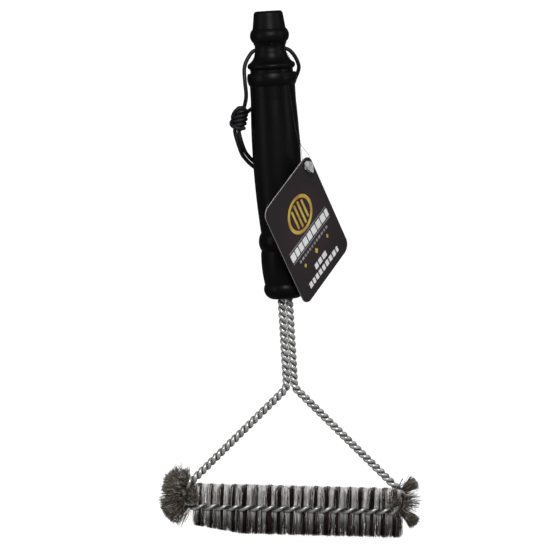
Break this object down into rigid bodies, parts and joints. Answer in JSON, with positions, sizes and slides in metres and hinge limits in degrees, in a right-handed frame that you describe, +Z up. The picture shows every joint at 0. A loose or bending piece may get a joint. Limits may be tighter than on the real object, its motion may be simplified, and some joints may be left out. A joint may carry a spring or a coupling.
{
  "type": "grill cleaning brush",
  "caption": "Long-handled grill cleaning brush with a turned plastic handle, a triangular head of twisted steel wire with wire bristles, a hanging cord and a blank card tag.",
  "frame": {"origin": "centre of the flat end face of the pommel", "axes": "+Z up the handle towards the pommel, -Y the front, +X to the right; the wire head hangs at -Z"},
  "size_m": [0.2108, 0.0911, 0.4217],
  "materials": {
    "handle_plastic": "satin moulded",
    "plug_plastic": "plain moulded",
    "sleeve_steel": "crimped",
    "wire_steel": "drawn and galvanised",
    "bristle_steel": "fine drawn wire",
    "cord_fabric": "braided",
    "loop_nylon": "clear nylon",
    "tag_card": "glossy film"
  },
  "bodies": {
    "brush": {"grip_shell": "handle_plastic", "pommel": "handle_plastic", "stem_plug": "plug_plastic", "stem_sleeve": "sleeve_steel", "wire_strand_a": "wire_steel", "wire_strand_b": "wire_steel", "bristles_base": "bristle_steel", "bristles_left_corner": "bristle_steel", "bristles_right_corner": "bristle_steel"},
    "neck_cord": {"hanging_cord": "cord_fabric", "cord_knot": "cord_fabric"},
    "tail_loop": {"cord_tail_loop": "cord_fabric"},
    "tag_thread": {"tag_loop": "loop_nylon", "tag_lock": "loop_nylon"},
    "tag": {"hang_tag": "tag_card"}
  },
  "joints": [
    {"name": "cord_swing", "type": "hinge", "parent": "brush", "child": "neck_cord", "pos_m": [0, 0, -0.0301], "axis": [1, 0, 0], "range_deg": [0, 180]},
    {"name": "tail_swing", "type": "hinge", "parent": "neck_cord", "child": "tail_loop", "pos_m": [-0.027, 0, -0.0824], "axis": [1, 0, 0], "range_deg": [0, 60]},
    {"name": "tag_thread_turn", "type": "hinge", "parent": "brush", "child": "tag_thread", "pos_m": [0, 0, 0], "axis": [0, 0, 1], "range_deg": [-40, 20]},
    {"name": "tag_swing", "type": "hinge", "parent": "tag_thread", "child": "tag", "pos_m": [0.0224, -0.0239, -0.1219], "axis": [0.7861, -0.6031, -0.135], "range_deg": [-25, 25]}
  ]
}
